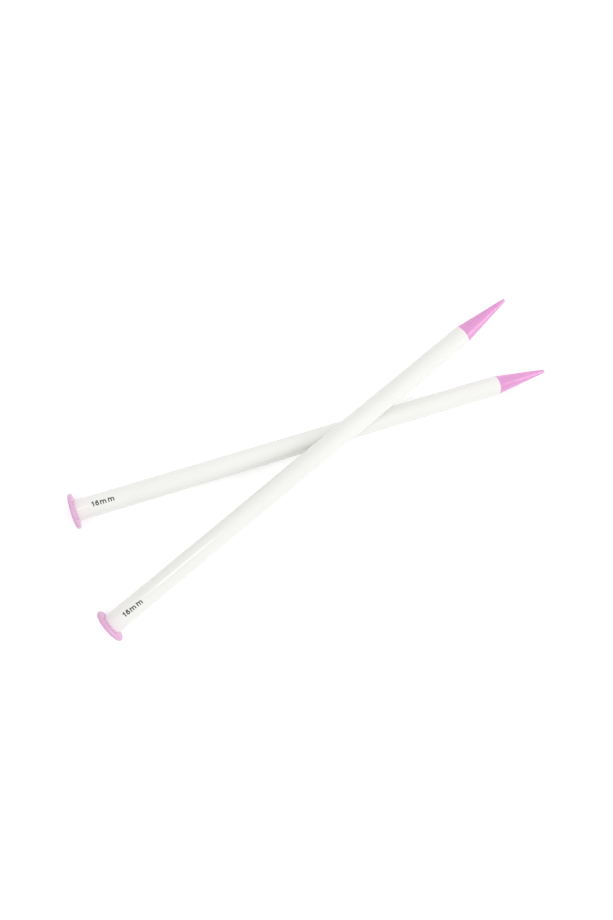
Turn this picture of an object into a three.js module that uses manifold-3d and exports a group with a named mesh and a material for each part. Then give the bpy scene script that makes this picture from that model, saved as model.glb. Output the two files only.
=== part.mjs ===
// A pair of jumbo straight knitting needles, laid one across the other on a table.
// Millimetres, +Z up. A needle is a hollow shaft with a moulded point and end cap pressed into it.
import * as THREE from 'three';
import { mergeVertices, toCreasedNormals } from 'three/addons/utils/BufferGeometryUtils.js';
import Module from 'manifold-3d';

// Shaft
const overallLength = 400;
const shaftDiameter = 16;
const shaftWall = 1.6;
const boreChamfer = 0.4;

// Point
const coneLength = 46;
const coneBaseDiameter = 15.3;
const coneBaseRounding = 0.25;
const noseRadius = 1.6;

// End cap
const capDiameter = 27.4;
const capThickness = 3.2;

// Hollow ribbed spigots that grip the shaft's bore
const pointSpigotLength = 24;
const capSpigotLength = 14;
const spigotClearance = 0.6;
const spigotWall = 1.8;
const spigotChamfer = 0.7;
const ribCount = 6;
const ribWidth = 1.4;
const ribLeadIn = 3.5;
const ribClearance = 0.1;
const seatClearance = 0.1;

// How deep the moulding core reaches into a head, and its draft, as shares of the head and of the core's mouth
const pointCoreShare = 0.3;
const capCoreShare = 0.4;
const coreDraftShare = 0.8;

// How the pair lies: seen from above, distances along each needle from the shaft's cap end to the crossing
const crossingFromLowerCap = 215;
const crossingFromUpperCap = 232;
const crossingAngle = THREE.MathUtils.degToRad(22.4);
const crossingClearance = 0.3;

// Fineness of the round surfaces
const roundSides = 48;
const halfCornerSteps = 2;
const smoothingAngle = THREE.MathUtils.degToRad(30);
const solverRounds = 20;

const shaftRadius = shaftDiameter / 2;
const boreRadius = shaftRadius - shaftWall;
const shaftLength = overallLength - capThickness - coneLength - 2 * seatClearance;
const shaftEndRounding = (shaftDiameter - coneBaseDiameter) / 2;
const spigotRadius = boreRadius - spigotClearance;
const coreRadius = spigotRadius - spigotWall;
const ribRootRadius = spigotRadius - spigotWall / 2;
const ribCrestRadius = boreRadius - ribClearance;
const quarterTurn = Math.PI / 2;

const wasm = await Module();
wasm.setup();

const white = new THREE.MeshStandardMaterial({ color: 0xf3f3ef, roughness: 0.3, metalness: 0 });
const pink = new THREE.MeshStandardMaterial({ color: 0xe59bd6, roughness: 0.3, metalness: 0 });

// A closed solid from a geometry whose corners are shared
function toSolid(geometry) {
  const bare = geometry.clone();
  bare.deleteAttribute('normal');
  bare.deleteAttribute('uv');
  const merged = mergeVertices(bare);
  return new wasm.Manifold(
    new wasm.Mesh({
      numProp: 3,
      vertProperties: merged.attributes.position.array,
      triVerts: new Uint32Array(merged.index.array),
    }),
  );
}

function toGeometry(solid) {
  const { vertProperties, triVerts } = solid.getMesh();
  const geometry = new THREE.BufferGeometry();
  geometry.setAttribute('position', new THREE.BufferAttribute(vertProperties, 3));
  geometry.setIndex(new THREE.BufferAttribute(triVerts, 1));
  return toCreasedNormals(geometry, smoothingAngle);
}

// Outlines are drawn as radius against the distance along the needle, and are turned about its axis
function revolve(outline) {
  return new THREE.LatheGeometry(outline.getPoints(halfCornerSteps), roundSides);
}

// Lays a turned body along +X
function layDown(geometry) {
  return geometry.rotateZ(-quarterTurn);
}

// The shaft is a plain tube from 0 to shaftLength, with soft outer edges and chamfered bore mouths
function shaftGeometry() {
  const roundCentre = shaftRadius - shaftEndRounding;
  const farCentre = shaftLength - shaftEndRounding;
  const outline = new THREE.Path();
  outline.moveTo(boreRadius, boreChamfer);
  outline.lineTo(boreRadius + boreChamfer, 0);
  outline.lineTo(roundCentre, 0);
  outline.absarc(roundCentre, shaftEndRounding, shaftEndRounding, -quarterTurn, 0);
  outline.absarc(roundCentre, farCentre, shaftEndRounding, 0, quarterTurn);
  outline.lineTo(boreRadius + boreChamfer, shaftLength);
  outline.lineTo(boreRadius, shaftLength - boreChamfer);
  outline.lineTo(boreRadius, boreChamfer);
  return layDown(revolve(outline));
}

// One crush rib, from inside the head to a sloped lead-in near the spigot's end
function ribGeometry(spigotLength) {
  const sunk = spigotWall / 2;
  const side = new THREE.Shape();
  side.moveTo(ribRootRadius, sunk);
  side.lineTo(ribRootRadius, -(spigotLength - spigotChamfer));
  side.lineTo(ribCrestRadius, -(spigotLength - ribLeadIn));
  side.lineTo(ribCrestRadius, sunk);
  side.closePath();
  const rib = new THREE.ExtrudeGeometry(side, { depth: ribWidth, bevelEnabled: false });
  return rib.translate(0, 0, -ribWidth / 2);
}

// A moulded head that starts at 0, with a hollow spigot and its ribs behind it.
// drawHead continues the outline from the spigot's root to the axis at the head's far side.
function pluggedHead(spigotLength, coreReach, drawHead) {
  const outline = new THREE.Path();
  outline.moveTo(0, coreReach);
  outline.lineTo(coreRadius * coreDraftShare, coreReach);
  outline.lineTo(coreRadius, -spigotLength);
  outline.lineTo(spigotRadius - spigotChamfer, -spigotLength);
  outline.lineTo(spigotRadius, -(spigotLength - spigotChamfer));
  outline.lineTo(spigotRadius, 0);
  drawHead(outline);
  let solid = toSolid(revolve(outline));
  const rib = ribGeometry(spigotLength);
  for (let i = 0; i < ribCount; i += 1) {
    const turned = rib.clone().rotateY((i * 2 * Math.PI) / ribCount);
    solid = solid.add(toSolid(turned));
  }
  return layDown(toGeometry(solid));
}

// The point is a straight cone that runs tangent into a small round nose
function pointGeometry() {
  const baseRadius = coneBaseDiameter / 2;
  const noseCentre = coneLength - noseRadius;
  const reach = Math.hypot(baseRadius, noseCentre);
  const halfAngle = Math.acos(noseRadius / reach) - Math.atan2(noseCentre, baseRadius);
  const cornerInset = (coneBaseRounding * (1 + Math.sin(halfAngle))) / Math.cos(halfAngle);
  const cornerCentre = baseRadius - cornerInset;
  return pluggedHead(pointSpigotLength, coneLength * pointCoreShare, (outline) => {
    outline.lineTo(cornerCentre, 0);
    outline.absarc(cornerCentre, coneBaseRounding, coneBaseRounding, -quarterTurn, halfAngle);
    outline.absarc(0, noseCentre, noseRadius, halfAngle, quarterTurn);
  });
}

// The end cap is a flat disc with a fully rounded rim
function capGeometry() {
  const rimRadius = capThickness / 2;
  const rimCentre = capDiameter / 2 - rimRadius;
  return pluggedHead(capSpigotLength, capThickness * capCoreShare, (outline) => {
    outline.lineTo(rimCentre, 0);
    outline.absarc(rimCentre, rimRadius, rimRadius, -quarterTurn, 0);
    outline.absarc(rimCentre, rimRadius, rimRadius, 0, quarterTurn);
    outline.lineTo(0, capThickness);
  });
}

const shaftShape = shaftGeometry();
const pointShape = pointGeometry();
const capShape = capGeometry();

// A needle lies along its own +X, with the shaft's cap end at 0
function makeNeedle(prefix) {
  const needle = new THREE.Group();
  const shaft = new THREE.Mesh(shaftShape, white);
  shaft.name = `${prefix}_tube`;
  const point = new THREE.Mesh(pointShape, pink);
  point.name = `${prefix}_tip`;
  point.position.x = shaftLength + seatClearance;
  const cap = new THREE.Mesh(capShape, pink);
  cap.name = `${prefix}_end_cap`;
  cap.position.x = -seatClearance;
  cap.rotation.z = Math.PI;
  needle.add(shaft, point, cap);
  return needle;
}

// Where a needle's axis lies at the shaft's cap end when the cap's rim touches the table
const rimCentreBack = seatClearance + capThickness / 2;
const rimCentreRadius = (capDiameter - capThickness) / 2;

function axisHeightAtCap(rise) {
  return rimCentreRadius * Math.cos(rise) + rimCentreBack * Math.sin(rise) + capThickness / 2;
}

// The lower needle rests on the cap's rim and on the edge at the shaft's far end, so it falls a little
function restingFall() {
  const span = shaftLength - shaftEndRounding + rimCentreBack;
  const drop = rimCentreRadius - (shaftRadius - shaftEndRounding);
  const roundingStep = capThickness / 2 - shaftEndRounding;
  return Math.atan2(drop, span) + Math.asin(roundingStep / Math.hypot(span, drop));
}

function axisDirection(turn, rise) {
  const level = Math.cos(rise);
  return new THREE.Vector3(level * Math.cos(turn), level * Math.sin(turn), Math.sin(rise));
}

// The upper needle rests on its cap's rim and on the lower shaft, so it rises towards its point
function crossingRise(fall) {
  const lowerAxis = axisDirection(0, -fall);
  const lowerHeight = axisHeightAtCap(-fall) - crossingFromLowerCap * Math.tan(fall);
  const apart = shaftDiameter + crossingClearance;
  let rise = 0;
  for (let i = 0; i < solverRounds; i += 1) {
    const between = lowerAxis.clone().cross(axisDirection(crossingAngle, rise)).normalize();
    const upperHeight = lowerHeight + apart / Math.abs(between.z);
    rise = Math.atan((upperHeight - axisHeightAtCap(rise)) / crossingFromUpperCap);
  }
  return rise;
}

// Lays a needle so that, seen from above, it passes the crossing at the given distance from its cap
function place(needle, turn, rise, crossingFromCap) {
  needle.rotation.set(0, -rise, turn, 'ZYX');
  const x = -crossingFromCap * Math.cos(turn);
  const y = -crossingFromCap * Math.sin(turn);
  needle.position.set(x, y, axisHeightAtCap(rise));
}

const fall = restingFall();
const lowerNeedle = makeNeedle('lower');
place(lowerNeedle, 0, -fall, crossingFromLowerCap);
const upperNeedle = makeNeedle('upper');
place(upperNeedle, crossingAngle, crossingRise(fall), crossingFromUpperCap);

const needles = new THREE.Group();
needles.add(lowerNeedle, upperNeedle);

// The origin is on the table, under the middle of the pair
const bounds = new THREE.Box3().setFromObject(needles, true);
const middle = bounds.getCenter(new THREE.Vector3());
needles.position.set(-middle.x, -middle.y, -bounds.min.z);

const pair = new THREE.Group();
pair.add(needles);

export default pair;
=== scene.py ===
"""A pair of jumbo straight knitting needles, crossed on a white studio floor.

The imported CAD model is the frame. Each needle's shaft, point and end cap is a finer turned piece
in the place of its CAD node, and each shaft carries its printed size mark. Lengths are in metres.
"""
import math
from dataclasses import dataclass

import bmesh
import bpy
import numpy as np
from mathutils import Matrix, Vector


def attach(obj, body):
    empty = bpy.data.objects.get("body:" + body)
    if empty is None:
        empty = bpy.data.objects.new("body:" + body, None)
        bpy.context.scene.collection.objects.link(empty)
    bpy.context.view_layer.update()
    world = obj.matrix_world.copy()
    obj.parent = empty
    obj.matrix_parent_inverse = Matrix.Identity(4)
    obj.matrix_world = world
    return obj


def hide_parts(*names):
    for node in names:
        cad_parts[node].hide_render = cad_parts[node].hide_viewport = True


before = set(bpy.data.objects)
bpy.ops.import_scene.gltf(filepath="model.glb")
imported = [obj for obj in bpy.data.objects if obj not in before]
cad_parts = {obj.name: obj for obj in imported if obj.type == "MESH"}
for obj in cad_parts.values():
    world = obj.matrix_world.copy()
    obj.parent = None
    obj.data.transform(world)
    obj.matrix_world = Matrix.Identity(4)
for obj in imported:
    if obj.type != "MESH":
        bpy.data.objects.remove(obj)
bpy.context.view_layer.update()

OWN_PLACE = "own_place"
VERTEX_DECIMALS = 7

# Turned pieces: edges, spigots and ribs
SIDES = 192
ARC_STEPS = 8
SHARP_ANGLE = math.radians(40)
FINE_CIRCLE_SLACK = 0.00001
CAP_END_ROUNDING = 0.00015
POINT_END_ROUNDING = 0.00035
SEAT_GAP = 0.000005
BORE_CHAMFER = 0.0004
CONE_BASE_ROUNDING = 0.00025
NOSE_RADIUS = 0.0016
NOSE_SLACK = 0.00003
SPIGOT_CLEARANCE = 0.0006
SPIGOT_WALL = 0.0018
SPIGOT_CHAMFER = 0.0007
RIB_COUNT = 6
RIB_WIDTH = 0.0014
RIB_LEAD_IN = 0.0035
RIB_CLEARANCE = 0.0001
CORE_DRAFT_SHARE = 0.8
POINT_CORE_SHARE = 0.3
CAP_CORE_SHARE = 0.4

# The moulding gate's small dimple in the middle of the end cap's outer face
GATE_RADIUS = 0.0013
GATE_DEPTH = 0.00025
GATE_EDGE = 0.0004
GATE_EDGE_TURN = 52

# Printed size mark: place on the shaft, strokes, gaps after the signs, and the grid it is cut from
MARK_START = 0.0124
MARK_BASELINES = {"lower": -0.00110, "upper": -0.00195}
DIGIT_HEIGHT = 0.00395
LETTER_HEIGHT = 0.00300
STROKE_WIDTH = 0.00080
ONE_STEM = 0.00104
SIX_BOWL = (0.00092, 0.00098)
SIX_OPENING = 0.00006
SIX_TOP_ANGLE = 52
M_SPAN = 0.00186
M_ARCH = 0.00082
GAP_AFTER_ONE = 0.00102
GAP_AFTER_SIX = 0.00090
GAP_AFTER_M = 0.00140
CURVE_POINTS = 36
INK_PITCH = 0.00010
INK_MARGIN = 2 * INK_PITCH
WELD_SHARE = 0.01
INK_PROUD = 0.000015
INK_THICKNESS = 0.00004

# Camera, from the fit to both needles' outlines in the photograph
EYE = Vector((-0.122970, -0.013046, 0.597491))
VIEW_RIGHT = Vector((0.941384, -0.296501, 0.160880))
VIEW_UP = Vector((0.286615, 0.954524, 0.082069))
LENS_MM = 29.57
SENSOR_MM = 36.0
NEAR_CLIP = 0.01

# Plastics: two tones that cloud into each other, and features per metre along and across the needle
WHITE_TONES = (0.872, 0.872, 0.838, 1), (0.898, 0.896, 0.868, 1)
WHITE_CLOUDS = (14, 60, 60)
WHITE_SCUFFS = (90, 1400, 1400)
WHITE_BLEED = (1.0, 1.0, 0.9)
DRAW_LINES = (6, 2600, 2600)
PINK_TONES = (0.745, 0.308, 0.622, 1), (0.790, 0.345, 0.664, 1)
PINK_CLOUDS = (60, 160, 160)
PINK_SCUFFS = (300, 1200, 1200)
PINK_BLEED = (1.0, 0.6, 0.9)
PEEL = (1600, 1600, 1600)
WHITE_RELIEF = 0.000002
PINK_RELIEF = 0.000002
INK_RELIEF = 0.000004

# Detail and roughness of each noise, and what is made of it
CLOUD_GRAIN = (3.5, 0.5)
SCUFF_GRAIN = (4.0, 0.7)
PEEL_GRAIN = (2.0, 0.5)
LINE_GRAIN = (2.0, 0.6)
CLOUD_RANGE = (0.30, 0.70)
GLOSS_RANGE = (0.12, 0.18)
SCUFF_RANGE = (0.61, 0.78)
SCUFF_ROUGHNESS = 0.17
PLASTIC_IOR = 1.5
LIGHT_DEPTH = 0.0013
LIGHT_SHARE = 0.12

# Handling scuffs and dulls the pink plastic over this length at the nose and depth at the rim. Where
# it is most, it shifts the scuffs' noise and brings in this share of a paler tone: handling marks at
# the nose, and along the rim partly handling marks and partly a painted highlight.
WORN_NOSE = 0.007
WORN_AND_HIGHLIT_RIM = 0.0016
WORN_SHIFT = 0.13
WORN_AND_HIGHLIGHT_TONE = (0.680, 0.550, 0.660, 1)
WORN_AND_HIGHLIGHT_SHARE = 0.50

# Ink
INK_TONES = (0.012, 0.012, 0.013, 1), (0.060, 0.060, 0.060, 1)
INK_FILM = (2400, 2400, 2400)
FILM_GRAIN = (3.0, 0.6)
INK_GLOSS_RANGE = (0.35, 0.55)

# Studio
FLOOR_SIZE = 12.0
FLOOR_ALBEDO = 0.80
FLOOR_GLOW = 0.37
WORLD_LEVEL = 0.90
WORLD_SLOPE = 0.29
BRIGHTEST_SIDE = (0.9903, 0.1392, 0.0)
WHITE_LIGHT = (1.0, 1.0, 1.0, 1.0)


def arc(centre_x, centre_r, radius, start, end, steps=ARC_STEPS):
    """Points (x, r) on an arc in a turned piece's outline. Angles in degrees from +X towards +R."""
    angles = np.radians(np.linspace(start, end, steps + 1))
    return [(centre_x + radius * math.cos(a), centre_r + radius * math.sin(a)) for a in angles]


class Needle:
    """One needle's place and sizes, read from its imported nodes. Local X runs from cap to point."""

    def __init__(self, prefix):
        self.prefix = prefix
        self.body = f"{prefix}_needle"
        tube = self.vertices("tube")
        middle = tube.mean(axis=0)
        along = np.linalg.svd(tube - middle, full_matrices=False)[2][0]
        if (self.vertices("tip").mean(axis=0) - middle) @ along < 0:
            along = -along
        start = middle + along * ((tube - middle) @ along).min()
        across = np.cross((0.0, 0.0, 1.0), along)
        across /= np.linalg.norm(across)
        self.axes = np.stack([along, across, np.cross(along, across)], axis=1)
        self.start = start
        self.matrix = Matrix(self.axes.tolist()).to_4x4()
        self.matrix.translation = Vector(start)

        r = self.turned("tube")[1]
        self.tube_radius, self.bore_radius = r.max() - FINE_CIRCLE_SLACK, r.min()
        x, r = self.turned("tip")
        self.spigot_end, self.nose = x.min(), x.max()
        self.cone_base = x[r > self.bore_radius].min()
        self.cone_radius = r.max() - FINE_CIRCLE_SLACK
        x, r = self.turned("end_cap")
        self.cap_spigot_end, self.cap_outer = x.max(), x.min()
        self.cap_inner = x[r > self.tube_radius].max()
        self.cap_radius = r.max() - FINE_CIRCLE_SLACK

    def vertices(self, node):
        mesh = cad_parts[f"{self.prefix}_{node}"].data
        points = np.empty(len(mesh.vertices) * 3)
        mesh.vertices.foreach_get("co", points)
        return np.unique(points.reshape(-1, 3).round(VERTEX_DECIMALS), axis=0)

    def turned(self, node):
        """Distance along the needle and distance from its axis, for each vertex of a node."""
        local = (self.vertices(node) - self.start) @ self.axes
        return local[:, 0], np.hypot(local[:, 1], local[:, 2])


def settle(needle, part, bm):
    """Makes a piece of a mesh in the needle's frame, and keeps those places for the materials."""
    name = f"{needle.prefix}_{part}"
    mesh = bpy.data.meshes.new(name)
    bm.to_mesh(mesh)
    bm.free()
    own = np.empty(len(mesh.vertices) * 3)
    mesh.vertices.foreach_get("co", own)
    mesh.attributes.new(OWN_PLACE, "FLOAT_VECTOR", "POINT").data.foreach_set("vector", own)
    mesh.transform(needle.matrix)
    mesh.shade_smooth()
    mesh.set_sharp_from_angle(angle=SHARP_ANGLE)
    piece = bpy.data.objects.new(name, mesh)
    bpy.context.collection.objects.link(piece)
    return piece


def turn(needle, part, outline, closed=False, ribs=None):
    """Turns an outline of (x, r) points about X. A point on the axis becomes a single pole.

    ribs gives a second radius for each point, used in the columns where a rib stands.
    """
    angles = np.arange(SIDES) * math.tau / SIDES
    rib_pitch = math.tau / RIB_COUNT
    bm = bmesh.new()
    rings = []
    for i, (x, r) in enumerate(outline):
        if r <= 0:
            rings.append([bm.verts.new((x, 0, 0))])
            continue
        radii = np.full(SIDES, r)
        if ribs and ribs[i] > r:
            offset = (angles + rib_pitch / 2) % rib_pitch - rib_pitch / 2
            radii[np.abs(offset) * r <= RIB_WIDTH / 2] = ribs[i]
        places = zip(radii * np.cos(angles), radii * np.sin(angles))
        rings.append([bm.verts.new((x, y, z)) for y, z in places])
    pairs = list(zip(rings, rings[1:]))
    if closed:
        pairs.append((rings[-1], rings[0]))
    for a, b in pairs:
        for i in range(SIDES):
            j = (i + 1) % SIDES
            corners = [a[i % len(a)], a[j % len(a)], b[j % len(b)], b[i % len(b)]]
            bm.faces.new(list(dict.fromkeys(corners)))
    bmesh.ops.recalc_face_normals(bm, faces=bm.faces)
    return settle(needle, part, bm)


def make_shaft(needle, part):
    """The plain tube, seated against both heads, with soft outer edges and chamfered mouths."""
    start, end = needle.cap_inner + SEAT_GAP, needle.cone_base - SEAT_GAP
    outer, bore = needle.tube_radius, needle.bore_radius
    near, far = CAP_END_ROUNDING, POINT_END_ROUNDING
    outline = [(start + BORE_CHAMFER, bore), (start, bore + BORE_CHAMFER)]
    outline += arc(start + near, outer - near, near, 180, 90)
    outline += arc(end - far, outer - far, far, 90, 0)
    outline += [(end, bore + BORE_CHAMFER), (end - BORE_CHAMFER, bore)]
    return turn(needle, part, outline, closed=True)


def spigot(needle, base, end, core_end):
    """Outline and rib radii of a hollow ribbed spigot, from its core's axis to the head's face."""
    toward = math.copysign(1, end - base)
    radius = needle.bore_radius - SPIGOT_CLEARANCE
    crest = needle.bore_radius - RIB_CLEARANCE
    core = radius - SPIGOT_WALL
    outline = [
        (core_end, 0.0),
        (core_end, core * CORE_DRAFT_SHARE),
        (end, core),
        (end, radius - SPIGOT_CHAMFER),
        (end - toward * SPIGOT_CHAMFER, radius),
        (end - toward * RIB_LEAD_IN, radius),
        (base, radius),
    ]
    ribs = [0.0] * (len(outline) - 2) + [crest, crest]
    return outline, ribs


def make_point(needle, part):
    """The point: a straight cone that runs tangent into a small round nose."""
    base, nose = needle.cone_base, needle.nose - NOSE_SLACK
    length = nose - base
    outline, ribs = spigot(needle, base, needle.spigot_end, base + length * POINT_CORE_SHARE)
    centre = nose - NOSE_RADIUS
    reach = math.hypot(needle.cone_radius, centre - base)
    half_angle = math.acos(NOSE_RADIUS / reach) - math.atan2(centre - base, needle.cone_radius)
    inset = CONE_BASE_ROUNDING
    tilt = math.degrees(half_angle)
    corner_r = needle.cone_radius - inset
    outline += arc(base + inset, corner_r, inset, 180, 90 - tilt)
    outline += arc(centre, 0.0, NOSE_RADIUS, 90 - tilt, 0, 2 * ARC_STEPS)
    outline[-1] = (nose, 0.0)
    ribs += [0.0] * (len(outline) - len(ribs))
    return turn(needle, part, outline, ribs=ribs)


def make_stopper(needle, part):
    """The end cap: a disc with a fully rounded rim and a faint gate dimple in its outer face."""
    inner, outer = needle.cap_inner, needle.cap_outer
    half = (inner - outer) / 2
    core_end = inner - 2 * half * CAP_CORE_SHARE
    outline, ribs = spigot(needle, inner, needle.cap_spigot_end, core_end)
    rim_r = needle.cap_radius - half
    outline += arc(inner - half, rim_r, half, 0, 180, 2 * ARC_STEPS)
    floor = outer + GATE_DEPTH
    edge_end = 180 + GATE_EDGE_TURN
    outline += arc(outer + GATE_EDGE, GATE_RADIUS + GATE_EDGE, GATE_EDGE, 180, edge_end)
    outline += [(floor, GATE_RADIUS), (floor, 0.0)]
    ribs += [0.0] * (len(outline) - len(ribs))
    return turn(needle, part, outline, ribs=ribs)


def curve_points(centre, radii, start, end):
    """Points on an elliptical arc, angles in degrees."""
    angles = np.radians(np.linspace(start, end, CURVE_POINTS))
    u = centre[0] + radii[0] * np.cos(angles)
    v = centre[1] + radii[1] * np.sin(angles)
    return np.stack([u, v], axis=1)


def digit_one():
    """Centre lines of a 1, and its width."""
    half, top = STROKE_WIDTH / 2, DIGIT_HEIGHT
    stem = [(ONE_STEM, 0.0), (ONE_STEM, top)]
    flag = [(ONE_STEM - half, top - 2 * half), (half / 2, top - ONE_STEM)]
    return [np.array(stem), np.array(flag)], ONE_STEM + half


def digit_six():
    """Centre lines of a 6, and its width."""
    half = STROKE_WIDTH / 2
    bowl_w, bowl_h = SIX_BOWL
    centre_u, centre_v = half + bowl_w, half + bowl_h
    bowl = curve_points((centre_u, centre_v), SIX_BOWL, 0, 360)
    back_w, rise = bowl_w + SIX_OPENING, DIGIT_HEIGHT - half - centre_v
    back = curve_points((centre_u + SIX_OPENING, centre_v), (back_w, rise), 180, SIX_TOP_ANGLE)
    return [bowl, back], 2 * (half + bowl_w)


def letter_m():
    """Centre lines of an m, and its width."""
    half, top = STROKE_WIDTH / 2, LETTER_HEIGHT
    shoulder = top - half - M_ARCH
    lines = [np.array([(half, 0.0), (half, top)])]
    for left in (half, half + M_SPAN):
        right = left + M_SPAN
        lines.append(curve_points(((left + right) / 2, shoulder), (M_SPAN / 2, M_ARCH), 180, 0))
        lines.append(np.array([(right, 0.0), (right, shoulder)]))
    return lines, 2 * (half + M_SPAN)


def mark_lines():
    """All centre lines of the size mark, 16 mm, laid out along the shaft."""
    signs = (
        (digit_one, GAP_AFTER_ONE),
        (digit_six, GAP_AFTER_SIX),
        (letter_m, GAP_AFTER_M),
        (letter_m, 0),
    )
    lines, cursor = [], 0.0
    for sign, gap in signs:
        strokes, width = sign()
        lines += [s + (cursor, 0.0) for s in strokes]
        cursor += width + gap
    return lines, cursor


def stroke_distance(points, lines):
    """Distance from each point to the nearest centre line."""
    best = np.full(len(points), np.inf)
    for line in lines:
        for p, q in zip(line, line[1:]):
            pq = q - p
            t = np.clip((points - p) @ pq / (pq @ pq), 0.0, 1.0)
            gap = np.linalg.norm(points - p - t[:, None] * pq, axis=1)
            best = np.minimum(best, gap)
    return best


def ink_cover(columns, rows, lines):
    """How far inside the ink each grid point is. Stems end flat at base and top."""
    u, v = np.meshgrid(columns, rows, indexing="ij")
    points = np.stack([u.ravel(), v.ravel()], axis=1)
    cover = STROKE_WIDTH / 2 - stroke_distance(points, lines)
    cover = np.minimum(cover, np.minimum(points[:, 1], DIGIT_HEIGHT - points[:, 1]))
    return cover.reshape(u.shape)


def sort_faces(bm):
    """Sorts faces by their vertices, since the order that solidify leaves changes between runs."""
    bm.verts.index_update()
    order = sorted(bm.faces, key=lambda face: sorted(vert.index for vert in face.verts))
    rank = {face: i for i, face in enumerate(order)}
    bm.faces.sort(key=rank.get)


def make_mark(needle, part):
    """The size mark as a thin printed film that follows the shaft."""
    lines, width = mark_lines()
    columns = np.arange(-INK_MARGIN, width + INK_MARGIN, INK_PITCH)
    rows = np.arange(-INK_MARGIN, DIGIT_HEIGHT + INK_MARGIN, INK_PITCH)
    cover = ink_cover(columns, rows, lines)
    radius = needle.tube_radius + INK_PROUD
    baseline = MARK_BASELINES[needle.prefix]
    bm = bmesh.new()
    made = {}

    def vertex(key, u, v):
        if key not in made:
            angle = (baseline + v) / needle.tube_radius
            x = MARK_START + u
            made[key] = bm.verts.new((x, radius * math.sin(angle), radius * math.cos(angle)))
        return made[key]

    for i in range(len(columns) - 1):
        for j in range(len(rows) - 1):
            corners = [(i, j), (i + 1, j), (i + 1, j + 1), (i, j + 1)]
            loop = []
            for a, b in zip(corners, corners[1:] + corners[:1]):
                ca, cb = cover[a], cover[b]
                if ca > 0:
                    loop.append(vertex(a, columns[a[0]], rows[a[1]]))
                if (ca > 0) != (cb > 0):
                    t = ca / (ca - cb)
                    u = columns[a[0]] + t * (columns[b[0]] - columns[a[0]])
                    v = rows[a[1]] + t * (rows[b[1]] - rows[a[1]])
                    loop.append(vertex(tuple(sorted((a, b))), u, v))
            if len(loop) > 2:
                bm.faces.new(loop)
    bmesh.ops.remove_doubles(bm, verts=bm.verts, dist=INK_PITCH * WELD_SHARE)
    bm.normal_update()
    bmesh.ops.solidify(bm, geom=bm.faces, thickness=INK_THICKNESS)
    sort_faces(bm)
    return settle(needle, part, bm)


class Nodes:
    """Short calls for building a node tree."""

    def __init__(self, tree):
        self.tree = tree

    def add(self, kind, inputs=None, **settings):
        node = self.tree.nodes.new(kind)
        for key, value in settings.items():
            setattr(node, key, value)
        for key, value in (inputs or {}).items():
            if isinstance(value, bpy.types.NodeSocket):
                self.tree.links.new(value, node.inputs[key])
            else:
                node.inputs[key].default_value = value
        return node

    def own_place(self):
        """The point's place in its needle's own frame, which turns and moves with the piece."""
        return self.add("ShaderNodeAttribute", attribute_name=OWN_PLACE).outputs["Vector"]

    def stretch(self, vector, scale):
        return self.add("ShaderNodeMapping", {"Vector": vector, "Scale": scale}).outputs["Vector"]

    def noise(self, place, per_metre, grain):
        """Soft noise from 0 to 1, with its own number of features per metre along each axis."""
        inputs = {"Vector": self.stretch(place, per_metre), "Scale": 1.0}
        inputs |= dict(zip(("Detail", "Roughness"), grain))
        return self.add("ShaderNodeTexNoise", inputs).outputs["Fac"]

    def remap(self, value, from_range, to_range=(0.0, 1.0)):
        inputs = {"Value": value}
        inputs |= dict(zip(("From Min", "From Max", "To Min", "To Max"), (*from_range, *to_range)))
        return self.add("ShaderNodeMapRange", inputs).outputs["Result"]

    def mix(self, factor, tones):
        """Blends two colours. The sockets that colours use have the numbers 6 and 7."""
        node = self.add("ShaderNodeMix", {0: factor, 6: tones[0], 7: tones[1]}, data_type="RGBA")
        return node.outputs[2]

    def math(self, operation, a, b):
        return self.add("ShaderNodeMath", {0: a, 1: b}, operation=operation).outputs[0]

    def bump(self, height, distance, below=None):
        inputs = {"Height": height, "Distance": distance}
        if below is not None:
            inputs["Normal"] = below
        return self.add("ShaderNodeBump", inputs).outputs["Normal"]


def new_material(name):
    material = bpy.data.materials.new(name)
    material.use_nodes = True
    return material, Nodes(material.node_tree), material.node_tree.nodes["Principled BSDF"]


def connect(material, shader, **sockets):
    """Links node outputs to the shader's sockets. An underscore in a key stands for a space."""
    for key, value in sockets.items():
        material.node_tree.links.new(value, shader.inputs[key.replace("_", " ")])


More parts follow.
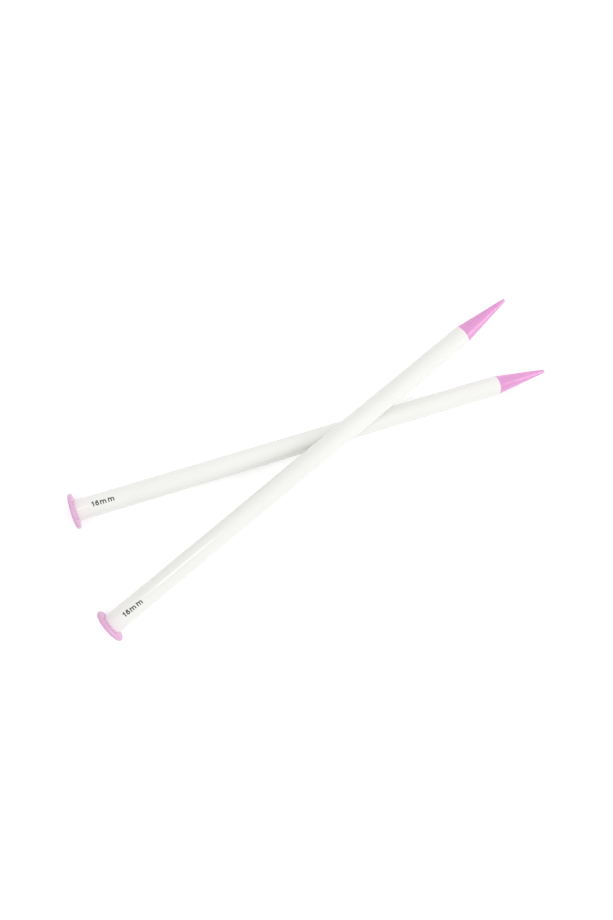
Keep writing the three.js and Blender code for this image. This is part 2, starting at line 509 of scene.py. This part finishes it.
@dataclass
class Plastic:
    """What tells one glossy plastic from another."""

    name: str
    tones: tuple
    clouds: tuple
    scuffs: tuple
    relief: float
    bleed: tuple

    def make(self, draw_lines=None, wear_and_highlight=None):
        """A glossy plastic with soft clouds, a fine peel and light scuffs.

        draw_lines adds fine lines in the relief. The other argument is a function that is called
        with the nodes and the point's place, and gives 0 to 1 for how much a place is handled; along
        the end cap's rim it also gives where a painted highlight pales the tone.
        """
        material, nodes, shader = new_material(self.name)
        place = nodes.own_place()
        cloud = nodes.noise(place, self.clouds, CLOUD_GRAIN)
        scuff = nodes.noise(place, self.scuffs, SCUFF_GRAIN)
        tone = nodes.mix(nodes.remap(cloud, CLOUD_RANGE), self.tones)
        if wear_and_highlight:
            worn_and_highlit = wear_and_highlight(nodes, place)
            scuff = nodes.math("ADD", scuff, nodes.math("MULTIPLY", worn_and_highlit, WORN_SHIFT))
            # The paler tone is handling marks at the nose, and along the end cap's rim partly a
            # painted highlight.
            tone = nodes.mix(nodes.math("MULTIPLY", worn_and_highlit, WORN_AND_HIGHLIGHT_SHARE), (tone, WORN_AND_HIGHLIGHT_TONE))
        gloss = nodes.remap(cloud, CLOUD_RANGE, GLOSS_RANGE)
        dulled = nodes.remap(scuff, SCUFF_RANGE, (0.0, SCUFF_ROUGHNESS))
        surface = nodes.bump(nodes.noise(place, PEEL, PEEL_GRAIN), self.relief)
        if draw_lines:
            surface = nodes.bump(nodes.noise(place, draw_lines, LINE_GRAIN), self.relief, surface)
        connect(
            material,
            shader,
            Base_Color=tone,
            Roughness=nodes.math("ADD", gloss, dulled),
            Normal=surface,
        )
        shader.inputs["IOR"].default_value = PLASTIC_IOR
        shader.inputs["Subsurface Weight"].default_value = LIGHT_SHARE
        shader.inputs["Subsurface Radius"].default_value = self.bleed
        shader.inputs["Subsurface Scale"].default_value = LIGHT_DEPTH
        return material


def white_plastic():
    """Extruded plastic, with faint draw lines along the shaft."""
    plastic = Plastic(
        "white_plastic",
        tones=WHITE_TONES,
        clouds=WHITE_CLOUDS,
        scuffs=WHITE_SCUFFS,
        relief=WHITE_RELIEF,
        bleed=WHITE_BLEED,
    )
    return plastic.make(draw_lines=DRAW_LINES)


def pink_plastic(needle):
    """Moulded plastic, more scuffed, duller and paler at the nose and along the end cap's rim. The
    paler tone is handling marks at the nose, and along the rim partly handling marks and partly a
    painted highlight.
    """

    def wear_and_highlight(nodes, place):
        along = nodes.add("ShaderNodeSeparateXYZ", {0: place}).outputs["X"]
        across = nodes.stretch(place, (0, 1, 1))
        radius = nodes.add("ShaderNodeVectorMath", {0: across}, operation="LENGTH").outputs["Value"]
        at_nose = nodes.remap(along, (needle.nose - WORN_NOSE, needle.nose))
        # Along the end cap's rim this also places a painted highlight: the paler tone there stands
        # partly for light.
        rim_wear_and_highlight = nodes.remap(radius, (needle.cap_radius - WORN_AND_HIGHLIT_RIM, needle.cap_radius))
        return nodes.math("MAXIMUM", at_nose, rim_wear_and_highlight)

    plastic = Plastic(
        "pink_plastic",
        tones=PINK_TONES,
        clouds=PINK_CLOUDS,
        scuffs=PINK_SCUFFS,
        relief=PINK_RELIEF,
        bleed=PINK_BLEED,
    )
    return plastic.make(wear_and_highlight=wear_and_highlight)


def black_ink():
    """Printed ink: near black, with a slightly uneven film."""
    material, nodes, shader = new_material("black_ink")
    film = nodes.noise(nodes.own_place(), INK_FILM, FILM_GRAIN)
    connect(
        material,
        shader,
        Base_Color=nodes.mix(nodes.remap(film, CLOUD_RANGE), INK_TONES),
        Roughness=nodes.remap(film, CLOUD_RANGE, INK_GLOSS_RANGE),
        Normal=nodes.bump(film, INK_RELIEF),
    )
    return material


def seen_directly(nodes):
    """1 for rays that show the surroundings as such: camera, glossy and transmission rays."""
    path = nodes.add("ShaderNodeLightPath").outputs
    mirrored = nodes.math("MAXIMUM", path["Is Glossy Ray"], path["Is Transmission Ray"])
    return nodes.math("MAXIMUM", path["Is Camera Ray"], mirrored)


def make_floor():
    """A plain white floor that keeps the needles' shadow."""
    mesh = bpy.data.meshes.new("floor")
    h = FLOOR_SIZE / 2
    mesh.from_pydata([(-h, -h, 0), (h, -h, 0), (h, h, 0), (-h, h, 0)], [], [(0, 1, 2, 3)])
    floor = bpy.data.objects.new("floor", mesh)
    bpy.context.collection.objects.link(floor)
    material = bpy.data.materials.new("floor_white")
    material.use_nodes = True
    material.node_tree.nodes.clear()
    nodes = Nodes(material.node_tree)
    grey = (FLOOR_ALBEDO, FLOOR_ALBEDO, FLOOR_ALBEDO, 1)
    paper = nodes.add("ShaderNodeBsdfDiffuse", {"Color": grey})
    strength = nodes.math("MULTIPLY", seen_directly(nodes), FLOOR_GLOW)
    glow = nodes.add("ShaderNodeEmission", {"Strength": strength})
    both = nodes.add("ShaderNodeAddShader", {0: paper.outputs[0], 1: glow.outputs[0]})
    nodes.add("ShaderNodeOutputMaterial", {"Surface": both.outputs[0]})
    mesh.materials.append(material)


def make_world():
    """White surroundings, seen as pure white, that give more light from the points' side."""
    world = bpy.data.worlds.new("studio")
    bpy.context.scene.world = world
    world.use_nodes = True
    world.node_tree.nodes.clear()
    nodes = Nodes(world.node_tree)
    direction = nodes.add("ShaderNodeTexCoord").outputs["Generated"]
    inputs = {0: direction, 1: BRIGHTEST_SIDE}
    slope = nodes.add("ShaderNodeVectorMath", inputs, operation="DOT_PRODUCT").outputs["Value"]
    levels = [WORLD_LEVEL * (1 + side * WORLD_SLOPE) for side in (-1, 1)]
    light = nodes.remap(slope, (-1.0, 1.0), levels)
    level = nodes.remap(seen_directly(nodes), (0.0, 1.0), (light, 1.0))
    sky = nodes.add("ShaderNodeBackground", {"Color": WHITE_LIGHT, "Strength": level})
    nodes.add("ShaderNodeOutputWorld", {"Surface": sky.outputs[0]})


def make_softbox(name, place, target, length, width, power, length_along):
    """A softbox that the camera doesn't see, with its length turned nearest to a direction."""
    light = bpy.data.lights.new(name, "AREA")
    light.shape = "RECTANGLE"
    light.size, light.size_y = length, width
    light.energy = power
    back = (Vector(place) - Vector(target)).normalized()
    side = back.cross(Vector(length_along)).normalized()
    lamp = bpy.data.objects.new(name, light)
    lamp.matrix_world = Matrix((side.cross(back), side, back)).transposed().to_4x4()
    lamp.location = place
    lamp.visible_camera = False
    bpy.context.collection.objects.link(lamp)


def make_camera():
    """The camera at the photograph's viewing angle."""
    camera = bpy.data.objects.new("camera", bpy.data.cameras.new("camera"))
    camera.data.lens = LENS_MM
    camera.data.sensor_width = SENSOR_MM
    camera.data.clip_start = NEAR_CLIP
    back = VIEW_RIGHT.cross(VIEW_UP).normalized()
    right = VIEW_UP.cross(back).normalized()
    camera.matrix_world = Matrix((right, back.cross(right), back)).transposed().to_4x4()
    camera.location = EYE
    bpy.context.collection.objects.link(camera)
    bpy.context.scene.camera = camera


def dress(needle, white, pink, ink):
    """Puts the finer pieces in the place of one needle's nodes, and prints its mark."""
    for part, make, material, slot, node in (
        ("shaft", make_shaft, white, "white_plastic", "tube"),
        ("point", make_point, pink, "pink_plastic", "tip"),
        ("stopper", make_stopper, pink, "pink_plastic", "end_cap"),
    ):
        piece = make(needle, part)
        piece.data.materials.append(material)
        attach(piece, needle.body)
        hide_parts(f"{needle.prefix}_{node}")
    mark = make_mark(needle, "size_mark")
    mark.data.materials.append(ink)
    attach(mark, needle.body)


make_camera()
needles = [Needle(prefix) for prefix in MARK_BASELINES]
white, pink, ink = white_plastic(), pink_plastic(needles[0]), black_ink()
for needle in needles:
    dress(needle, white, pink, ink)

make_floor()
make_world()
make_softbox(
    "key",
    place=(1.28, -0.53, 0.787),
    target=(0.16, 0.04, 0.03),
    length=0.44,
    width=0.90,
    power=4.3,
    length_along=(0.647, 0.655, -0.392),
)
make_softbox(
    "near_eye",
    place=(-0.791, 0.275, 2.292),
    target=(-0.15, -0.05, 0.0),
    length=0.42,
    width=0.21,
    power=3.8,
    length_along=(0.9245, 0.3811, 0.0),
)

bpy.context.scene.view_settings.view_transform = "Standard"
